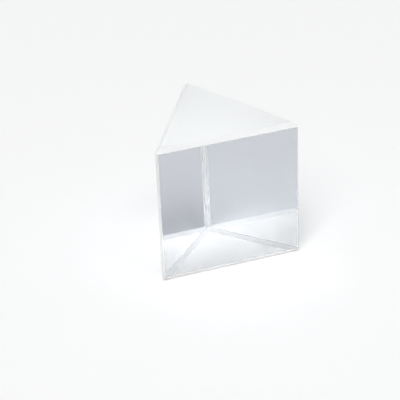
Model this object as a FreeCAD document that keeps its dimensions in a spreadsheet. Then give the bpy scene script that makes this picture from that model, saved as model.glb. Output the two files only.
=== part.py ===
# Equilateral dispersing prism: one block of optical glass with three polished faces at 60 degrees to
# each other, two ground triangular ends, and a ground bevel along every edge, a little wider round the
# ends than along the sides.
# Frame: the block stands on one end. Z is its long axis, the origin is the middle of the lower end,
# and the front face looks along -Y.
import FreeCAD, Part
import os
import Sketcher

# Driving dimensions in millimetres: alias, value, meaning.
SIZES = [
    ("face_width", 50.0, "width of each polished face before its edges are bevelled"),
    ("prism_length", 50.0, "height of the block from end to end"),
    ("end_bevel", 1.3, "leg of the ground bevel round each end, measured along each face"),
    ("side_bevel", 1.0, "leg of the ground bevel between two polished faces, measured along each"),
]


def make_sheet(doc):
    """Fill the spreadsheet with the driving dimensions, one alias a row."""
    sheet = doc.addObject("Spreadsheet::Sheet", "Sizes")
    for row, (alias, value, meaning) in enumerate(SIZES, start=1):
        sheet.set(f"A{row}", meaning)
        sheet.set(f"B{row}", str(value))
        sheet.setAlias(f"B{row}", alias)
    doc.recompute()
    return sheet


def origin_plane(body, role):
    """Return the body's own origin plane with that role."""
    return next(feature for feature in body.Origin.OriginFeatures if feature.Role == role)


def triangle_sketch(body, sheet):
    """Draw the equilateral outline of the ends, its middle on the sketch origin."""
    sketch = body.newObject("Sketcher::SketchObject", "TriangleOutline")
    sketch.AttachmentSupport = [(origin_plane(body, "XY_Plane"), "")]
    sketch.MapMode = "FlatFace"
    half = sheet.face_width / 2
    inner_radius = half / 3**0.5
    front_left = FreeCAD.Vector(-half, -inner_radius, 0)
    front_right = FreeCAD.Vector(half, -inner_radius, 0)
    back = FreeCAD.Vector(0, 2 * inner_radius, 0)
    corners = [front_left, front_right, back]
    for start, end in zip(corners, corners[1:] + corners[:1]):
        sketch.addGeometry(Part.LineSegment(start, end), False)
    front, right, left = range(3)
    starts, ends = 1, 2
    origin_point = (-1, 1)
    y_axis = -2
    for side, following in ((front, right), (right, left), (left, front)):
        sketch.addConstraint(Sketcher.Constraint("Coincident", side, ends, following, starts))
    sketch.addConstraint(Sketcher.Constraint("Equal", front, right))
    sketch.addConstraint(Sketcher.Constraint("Equal", front, left))
    sketch.addConstraint(Sketcher.Constraint("Symmetric", front, starts, front, ends, y_axis))
    width = sketch.addConstraint(
        Sketcher.Constraint("DistanceX", front, starts, front, ends, sheet.face_width)
    )
    depth = sketch.addConstraint(
        Sketcher.Constraint("DistanceY", front, starts, *origin_point, inner_radius)
    )
    sketch.renameConstraint(width, "faceWidth")
    sketch.renameConstraint(depth, "innerRadius")
    sketch.setExpression("Constraints.faceWidth", "Sizes.face_width")
    sketch.setExpression("Constraints.innerRadius", "Sizes.face_width / (2 * sqrt(3))")
    return sketch


def is_upright(edge):
    """Say whether an edge runs along the block's long axis."""
    return abs(edge.tangentAt(edge.FirstParameter).z) > 0.9


def edge_names(feature, wanted):
    """Name those edges of a finished feature for which wanted(edge) holds."""
    return [f"Edge{number}" for number, edge in enumerate(feature.Shape.Edges, start=1) if wanted(edge)]


def grind_bevels(body, name, base, edges, size):
    """Bevel the named edges of base, with the leg bound to that cell of the sheet."""
    bevels = body.newObject("PartDesign::Chamfer", name)
    bevels.Base = (base, edges)
    bevels.ChamferType = "Equal distance"
    bevels.setExpression("Size", f"Sizes.{size}")
    return bevels


def make_prism(doc, sheet):
    """Raise the triangle to the full length, then bevel its ends and its long edges."""
    body = doc.addObject("PartDesign::Body", "Prism")
    body.Label = "prism"
    sketch = triangle_sketch(body, sheet)

    block = body.newObject("PartDesign::Pad", "GlassBlock")
    block.Profile = sketch
    block.Length = sheet.prism_length
    block.setExpression("Length", "Sizes.prism_length")
    sketch.Visibility = False
    doc.recompute()

    end_edges = edge_names(block, lambda edge: not is_upright(edge))
    end_bevels = grind_bevels(body, "EndBevels", block, end_edges, "end_bevel")
    doc.recompute()

    side_edges = edge_names(end_bevels, is_upright)
    side_bevels = grind_bevels(body, "SideBevels", end_bevels, side_edges, "side_bevel")
    body.Tip = side_bevels
    doc.recompute()
    return body


def check(doc, bodies):
    """Stop if a feature failed or a finished shape isn't one valid solid."""
    for thing in doc.Objects:
        if "Invalid" in thing.State or "Error" in thing.State:
            raise RuntimeError(f"{thing.Label} did not recompute: {thing.State}")
    for body in bodies:
        shape = body.Shape
        if shape.isNull() or not shape.isValid() or len(shape.Solids) != 1:
            raise RuntimeError(f"{body.Label} is not one valid solid")


def main():
    doc = FreeCAD.newDocument("EquilateralPrism")
    sheet = make_sheet(doc)
    bodies = [make_prism(doc, sheet)]
    doc.recompute()
    check(doc, bodies)
    os.makedirs("parts", exist_ok=True)
    for body in bodies:
        body.Shape.exportStep(f"parts/{body.Label}.step")
        box = body.Shape.BoundBox
        print(f"{body.Label}: {len(body.Shape.Faces)} faces, {body.Shape.Volume:.1f} mm3,")
        print(f"  {box.XLength:.2f} x {box.YLength:.2f} x {box.ZLength:.2f} mm, base at z {box.ZMin:.3f}")


main()
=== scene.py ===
import math

import bpy
from mathutils import Matrix, Vector


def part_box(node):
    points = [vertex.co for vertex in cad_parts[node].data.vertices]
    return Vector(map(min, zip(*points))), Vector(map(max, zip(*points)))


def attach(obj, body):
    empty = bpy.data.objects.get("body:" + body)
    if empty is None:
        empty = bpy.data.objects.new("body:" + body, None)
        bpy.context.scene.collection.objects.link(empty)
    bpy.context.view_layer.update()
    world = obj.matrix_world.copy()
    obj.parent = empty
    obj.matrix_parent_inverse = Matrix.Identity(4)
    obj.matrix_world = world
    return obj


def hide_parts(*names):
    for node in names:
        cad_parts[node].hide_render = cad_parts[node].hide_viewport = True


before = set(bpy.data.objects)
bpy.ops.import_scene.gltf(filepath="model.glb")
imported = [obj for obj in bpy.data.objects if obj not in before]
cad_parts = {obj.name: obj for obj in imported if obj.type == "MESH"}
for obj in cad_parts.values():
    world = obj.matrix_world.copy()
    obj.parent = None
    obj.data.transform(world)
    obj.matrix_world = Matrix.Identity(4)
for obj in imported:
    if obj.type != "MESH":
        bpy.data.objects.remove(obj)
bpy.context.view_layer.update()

# Sizes of the block, worked out from the frame
LOW, HIGH = (Vector(corner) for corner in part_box("prism"))
HEIGHT = HIGH.z - LOW.z
INNER_RADIUS = -LOW.y
OUTER_RADIUS = 2 * INNER_RADIUS
FACE_WIDTH = 2 * math.sqrt(3) * INNER_RADIUS
HALF_CORNER = math.cos(math.radians(30))
SIDE_BEVEL = (OUTER_RADIUS - HIGH.y) / HALF_CORNER
ON_THE_TABLE = 0.00001
FOOT = [vertex.co for vertex in bpy.data.objects["prism"].data.vertices if vertex.co.z < ON_THE_TABLE]
END_BEVEL = min(point.y for point in FOOT) - LOW.y

# Directions of the polished faces, in degrees round the block, and how closely a face must match one
FACE_ANGLES = (-90, 30, 150)
ALIGNED = 0.9999

# The upright bevels: direction of the edge, how much wider it is ground than drawn, and its slant
SIDE_PASSES = (
    (90, 0.00003, math.radians(0.03)),
    (210, 0.00022, math.radians(0.12)),
    (330, 0.00012, math.radians(-0.08)),
)

# The end bevels: direction of the face, how much wider it is ground than drawn, and its slant
END_PASSES = (
    (-90, 0.00010, math.radians(0.10)),
    (30, 0.00007, math.radians(-0.07)),
    (150, 0.00008, math.radians(0.06)),
)

# How much the corners and arrises are rubbed down, and how far the table lies below the block
CORNER_TOUCH = 0.00045
ARRIS = 0.00010
TABLE_GAP = 0.00003

# Points of the mesh nearer together than this are one
MERGE_DISTANCE = 0.000001

# Finishes of the block, in the order of its material slots
POLISHED, UPPER_END, LOWER_END, BEVEL, CHIPPED = range(5)

CROWN_GLASS_INDEX = 1.517

# The table and the softboxes over it
TABLE_RADIUS = 4.0
LAMP_DISTANCE = 6.0
LAMP_SIZE = 2.4

# Strength of the light from all round, and of the white backdrop that is seen
ROOM_LIGHT = 0.35
BACKDROP_WHITE = 1.0

# The camera, as fitted to the outline in the photograph
FRAME_PX = 400
FOCAL_PX = 1591.0
SENSOR_WIDTH = 36.0
CAMERA_TURN = math.radians(17.81)
CAMERA_DIP = math.radians(31.45)
CAMERA_ROLL = math.radians(2.45)
CAMERA_OFFSET = Vector((0.109, 9.160, -5.970)) * FACE_WIDTH


def direction(angle, rise=0.0):
    """Unit vector at that angle round the block, in degrees, rising by that many degrees."""
    turn = math.radians(angle)
    lift = math.radians(rise)
    return Vector((math.cos(turn) * math.cos(lift), math.sin(turn) * math.cos(lift), math.sin(lift)))


def new_material(name):
    """A node material with its Principled shader; returns the material, its nodes, links and shader."""
    material = bpy.data.materials.new(name)
    material.use_nodes = True
    nodes = material.node_tree.nodes
    return material, nodes, material.node_tree.links, nodes["Principled BSDF"]


def object_coordinates(nodes):
    """Object coordinates for a pattern; returns the output."""
    return nodes.new("ShaderNodeTexCoord").outputs["Object"]


def noise(nodes, links, place, scale, detail=2.0, roughness=0.5):
    """A noise pattern at that many cells a metre; returns its value output."""
    texture = nodes.new("ShaderNodeTexNoise")
    texture.inputs["Scale"].default_value = scale
    texture.inputs["Detail"].default_value = detail
    texture.inputs["Roughness"].default_value = roughness
    links.new(place, texture.inputs["Vector"])
    return texture.outputs["Fac"]


def spread(nodes, links, value, low, high, new_low, new_high):
    """Spread a pattern's values from low..high to new_low..new_high; returns the output."""
    remap = nodes.new("ShaderNodeMapRange")
    remap.inputs["From Min"].default_value = low
    remap.inputs["From Max"].default_value = high
    remap.inputs["To Min"].default_value = new_low
    remap.inputs["To Max"].default_value = new_high
    links.new(value, remap.inputs["Value"])
    return remap.outputs["Result"]


def blend_colours(nodes, links, factor, first, second):
    """Blend two colours by a pattern; returns the colour output."""
    mix = nodes.new("ShaderNodeMix")
    mix.data_type = "RGBA"
    mix.inputs["A"].default_value = (*first, 1)
    mix.inputs["B"].default_value = (*second, 1)
    links.new(factor, mix.inputs["Factor"])
    return mix.outputs["Result"]


def grain_bump(nodes, links, shader, pattern, distance, strength):
    """Raise a pattern as bump on the shader."""
    bump = nodes.new("ShaderNodeBump")
    bump.inputs["Strength"].default_value = strength
    bump.inputs["Distance"].default_value = distance
    links.new(pattern, bump.inputs["Height"])
    links.new(bump.outputs["Normal"], shader.inputs["Normal"])


def polished_glass():
    """Crown glass with faint wiping haze; its colour is greyer than real glass, to match the photograph."""
    material, nodes, links, shader = new_material("polished_glass_painted_shade")
    shader.inputs["IOR"].default_value = CROWN_GLASS_INDEX
    shader.inputs["Transmission Weight"].default_value = 1.0
    place = object_coordinates(nodes)
    haze = noise(nodes, links, place, 60, detail=3)
    links.new(spread(nodes, links, haze, 0.6, 0.8, 0.0, 0.012), shader.inputs["Roughness"])
    tint = noise(nodes, links, place, 25, detail=1)
    # Painted shade: this grey, far greyer than real glass, darkens the pale table and backdrop seen through
    # the block into grey; the faint difference between the two greys is random
    colour = blend_colours(nodes, links, tint, (0.62, 0.645, 0.684), (0.625, 0.65, 0.689))
    links.new(colour, shader.inputs["Base Color"])
    return material


def ground_end(name, clarity, first, second):
    """Fine-ground end of the block: milky, with an even grain, and cloudy between two colours."""
    material, nodes, links, shader = new_material(name)
    shader.inputs["IOR"].default_value = CROWN_GLASS_INDEX
    shader.inputs["Transmission Weight"].default_value = clarity
    place = object_coordinates(nodes)
    grain = noise(nodes, links, place, 2600, detail=3)
    cloud = noise(nodes, links, place, 40, detail=2)
    links.new(blend_colours(nodes, links, cloud, first, second), shader.inputs["Base Color"])
    links.new(spread(nodes, links, grain, 0.3, 0.7, 0.7, 0.85), shader.inputs["Roughness"])
    grain_bump(nodes, links, shader, grain, 0.00002, 0.4)
    return material


def ground_bevel():
    """Bevels ground on the lap: white, with a fine grain."""
    material, nodes, links, shader = new_material("ground_bevel")
    shader.inputs["IOR"].default_value = CROWN_GLASS_INDEX
    shader.inputs["Transmission Weight"].default_value = 0.3
    place = object_coordinates(nodes)
    grain = noise(nodes, links, place, 3500, detail=3)
    colour = blend_colours(nodes, links, grain, (0.87, 0.87, 0.865), (0.91, 0.91, 0.905))
    links.new(colour, shader.inputs["Base Color"])
    links.new(spread(nodes, links, grain, 0.3, 0.7, 0.65, 0.85), shader.inputs["Roughness"])
    grain_bump(nodes, links, shader, grain, 0.00002, 0.2)
    return material


def chipped_arris():
    """Softened arrises: fine white chipping along the edges of the polished faces."""
    material, nodes, links, shader = new_material("chipped_arris")
    shader.inputs["IOR"].default_value = CROWN_GLASS_INDEX
    shader.inputs["Transmission Weight"].default_value = 1.0
    place = object_coordinates(nodes)
    chips = noise(nodes, links, place, 1800, detail=3)
    colour = blend_colours(nodes, links, chips, (0.93, 0.94, 0.94), (0.99, 0.99, 0.99))
    links.new(colour, shader.inputs["Base Color"])
    links.new(spread(nodes, links, chips, 0.3, 0.7, 0.5, 0.8), shader.inputs["Roughness"])
    grain_bump(nodes, links, shader, chips, 0.00002, 0.3)
    return material


def grind(point, normal):
    """Take off all the glass beyond the plane through point, as one pass on the lap."""
    bpy.ops.mesh.select_all(action="SELECT")
    bpy.ops.mesh.bisect(plane_co=point, plane_no=normal.normalized(), use_fill=True, clear_outer=True)


def grind_side_bevel(angle, extra, tilt):
    """Bevel one upright edge; its width changes a little along its length."""
    outward = direction(angle)
    reach = OUTER_RADIUS - (SIDE_BEVEL + extra) * HALF_CORNER
    lean = Vector((0, 0, math.tan(tilt)))
    grind(outward * reach + Vector((0, 0, HEIGHT / 2)), outward + lean)


def grind_end_bevel(angle, extra, tilt, end):
    """Bevel the edge between a polished face and an end; end is 1 for the upper one, -1 for the lower."""
    outward = direction(angle)
    along = direction(angle + 90)
    level = HEIGHT if end > 0 else 0.0
    leg = END_BEVEL + extra
    point = outward * (INNER_RADIUS - leg / 2) + Vector((0, 0, level - end * leg / 2))
    grind(point, outward + Vector((0, 0, end)) + along * math.tan(tilt))


def touch_corner(angle, end):
    """Take the point off one corner, where an upright bevel runs into two end bevels."""
    outward = direction(angle)
    level = HEIGHT if end > 0 else 0.0
    reach = OUTER_RADIUS - SIDE_BEVEL * HALF_CORNER
    peak = outward * reach + Vector((0, 0, level - end * (END_BEVEL - SIDE_BEVEL / 2)))
    normal = (outward + Vector((0, 0, end))).normalized()
    grind(peak - normal * CORNER_TOUCH, normal)


def is_polished(face):
    """Say whether a face of the mesh is one of the three optical faces."""
    return max(face.normal.dot(direction(angle)) for angle in FACE_ANGLES) > ALIGNED


def soften_arrises(block):
    """Rub down the arrises round the polished faces, which leaves a narrow chipped line."""
    bpy.ops.object.mode_set(mode="OBJECT")
    for face in block.data.polygons:
        face.select = is_polished(face)
    bpy.ops.object.mode_set(mode="EDIT")
    bpy.ops.mesh.region_to_loop()
    bpy.ops.mesh.bevel(offset=ARRIS, segments=1, affect="EDGES", material=CHIPPED)


def glass_block():
    """The block: a three-sided bar, bevelled pass by pass, its arrises softened last."""
    bpy.ops.object.select_all(action="DESELECT")
    bpy.ops.mesh.primitive_cylinder_add(
        vertices=3, radius=OUTER_RADIUS, depth=HEIGHT, location=(0, 0, HEIGHT / 2)
    )
    block = bpy.context.object
    block.name = "glass_block"
    bpy.ops.object.transform_apply(location=True, rotation=True, scale=True)
    # The two ends differ in clarity and colour to match the photograph
    # Painted shade: the upper end is the same ground glass as the lower, given a greyer colour and less
    # clarity to hold back the light falling on it from above
    upper_end = ground_end("fine_ground_top_painted_shade", 0.8, (0.80, 0.815, 0.82), (0.82, 0.835, 0.84))
    # Painted light: the lower end is given a near-white, warm colour and full clarity, so the base stays
    # white though less light reaches it
    lower_end = ground_end("fine_ground_base_painted_light", 1.0, (0.985, 0.97, 0.94), (0.995, 0.98, 0.955))
    for material in (polished_glass(), upper_end, lower_end, ground_bevel(), chipped_arris()):
        block.data.materials.append(material)
    bpy.ops.object.mode_set(mode="EDIT")
    bpy.ops.mesh.select_mode(type="FACE")
    for angle, extra, tilt in SIDE_PASSES:
        grind_side_bevel(angle, extra, tilt)
    for end in (1, -1):
        for angle, extra, tilt in END_PASSES:
            grind_end_bevel(angle, extra, tilt, end)
        for angle, _, _ in SIDE_PASSES:
            touch_corner(angle, end)
    bpy.ops.mesh.select_all(action="SELECT")
    bpy.ops.mesh.remove_doubles(threshold=MERGE_DISTANCE)
    bpy.ops.mesh.normals_make_consistent(inside=False)
    soften_arrises(block)
    bpy.ops.object.mode_set(mode="OBJECT")
    return block


def dress_block(block):
    """Give the polished faces, the ends and the bevels each their own finish."""
    for face in block.data.polygons:
        if is_polished(face):
            face.material_index = POLISHED
        elif face.normal.z > ALIGNED:
            face.material_index = UPPER_END
        elif face.normal.z < -ALIGNED:
            face.material_index = LOWER_END
        elif face.material_index != CHIPPED:
            face.material_index = BEVEL


def table_top():
    """The pale table that the block stands on."""
    bpy.ops.object.select_all(action="DESELECT")
    bpy.ops.mesh.primitive_circle_add(
        vertices=96, radius=TABLE_RADIUS, fill_type="NGON", location=(0, 0, -TABLE_GAP)
    )
    top = bpy.context.object
    top.name = "table_top"
    material, nodes, links, shader = new_material("pale_table")
    shader.inputs["Roughness"].default_value = 0.9
    shader.inputs["Specular IOR Level"].default_value = 0.2
    place = object_coordinates(nodes)
    fibre = noise(nodes, links, place, 900, detail=3)
    colour = blend_colours(nodes, links, fibre, (0.98, 0.975, 0.97), (0.99, 0.985, 0.98))
    links.new(colour, shader.inputs["Base Color"])
    top.data.materials.append(material)


def studio_world():
    """Even soft light from all round; seen directly or in the glass it is a pale backdrop."""
    world = bpy.data.worlds.new("studio")
    bpy.context.scene.world = world
    world.use_nodes = True
    world.cycles.sampling_method = "NONE"
    nodes = world.node_tree.nodes
    links = world.node_tree.links
    light = nodes["Background"]
    light.inputs["Color"].default_value = (0.95, 0.975, 1.0, 1)
    light.inputs["Strength"].default_value = ROOM_LIGHT
    backdrop = nodes.new("ShaderNodeBackground")
    backdrop.inputs["Color"].default_value = (0.985, 0.992, 1.0, 1)
    backdrop.inputs["Strength"].default_value = BACKDROP_WHITE
    path = nodes.new("ShaderNodeLightPath")
    seen = nodes.new("ShaderNodeMath")
    seen.operation = "MAXIMUM"
    links.new(path.outputs["Is Camera Ray"], seen.inputs[0])
    links.new(path.outputs["Is Glossy Ray"], seen.inputs[1])
    through = nodes.new("ShaderNodeMath")
    through.operation = "MAXIMUM"
    links.new(seen.outputs["Value"], through.inputs[0])
    links.new(path.outputs["Is Transmission Ray"], through.inputs[1])
    mix = nodes.new("ShaderNodeMixShader")
    links.new(through.outputs["Value"], mix.inputs["Fac"])
    links.new(light.outputs["Background"], mix.inputs[1])
    links.new(backdrop.outputs["Background"], mix.inputs[2])
    links.new(mix.outputs["Shader"], nodes["World Output"].inputs["Surface"])


def softbox(name, angle, rise, power):
    """A square white soft light in that direction, facing the middle of the block."""
    place = direction(angle, rise) * LAMP_DISTANCE
    data = bpy.data.lights.new(name, "AREA")
    data.shape = "SQUARE"
    data.size = LAMP_SIZE
    data.energy = power
    lamp = bpy.data.objects.new(name, data)
    bpy.context.scene.collection.objects.link(lamp)
    lamp.location = place
    aim = Vector((0, 0, HEIGHT / 2)) - place
    lamp.rotation_euler = aim.to_track_quat("-Z", "Y").to_euler()


def make_camera():
    """The camera of the photograph; its place is kept relative to the middle of the block's lower end."""
    data = bpy.data.cameras.new("camera")
    data.sensor_width = SENSOR_WIDTH
    data.lens = FOCAL_PX / FRAME_PX * SENSOR_WIDTH
    data.clip_start = 0.01
    data.clip_end = 20
    camera = bpy.data.objects.new("camera", data)
    bpy.context.scene.collection.objects.link(camera)
    turn = Matrix.Rotation(-CAMERA_TURN, 3, "Z")
    right = turn @ Vector((1, 0, 0))
    ahead = turn @ Vector((0, math.cos(CAMERA_DIP), -math.sin(CAMERA_DIP)))
    upward = turn @ Vector((0, math.sin(CAMERA_DIP), math.cos(CAMERA_DIP)))
    across = right * math.cos(CAMERA_ROLL) - upward * math.sin(CAMERA_ROLL)
    aloft = right * math.sin(CAMERA_ROLL) + upward * math.cos(CAMERA_ROLL)
    camera.location = turn @ -CAMERA_OFFSET
    camera.rotation_euler = Matrix((across, aloft, -ahead)).transposed().to_euler()
    bpy.context.scene.camera = camera


make_camera()
block = glass_block()
dress_block(block)
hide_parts("prism")
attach(block, "root")
table_top()
studio_world()
softbox("key_light", 240, 70, 134)
softbox("side_light", 231, 50, 67)
softbox("fill_light", 300, 70, 55)
bpy.context.scene.view_settings.view_transform = "Standard"

# Light bounces many times inside the block and under it, and the polished faces stay sharp.
# The Sobol pattern keeps regular dots out of what is seen through the block.
cycles = bpy.context.scene.cycles
cycles.sampling_pattern = "TABULATED_SOBOL"
cycles.blur_glossy = 0.0
cycles.max_bounces = 128
cycles.glossy_bounces = 64
cycles.transmission_bounces = 64
cycles.diffuse_bounces = 16
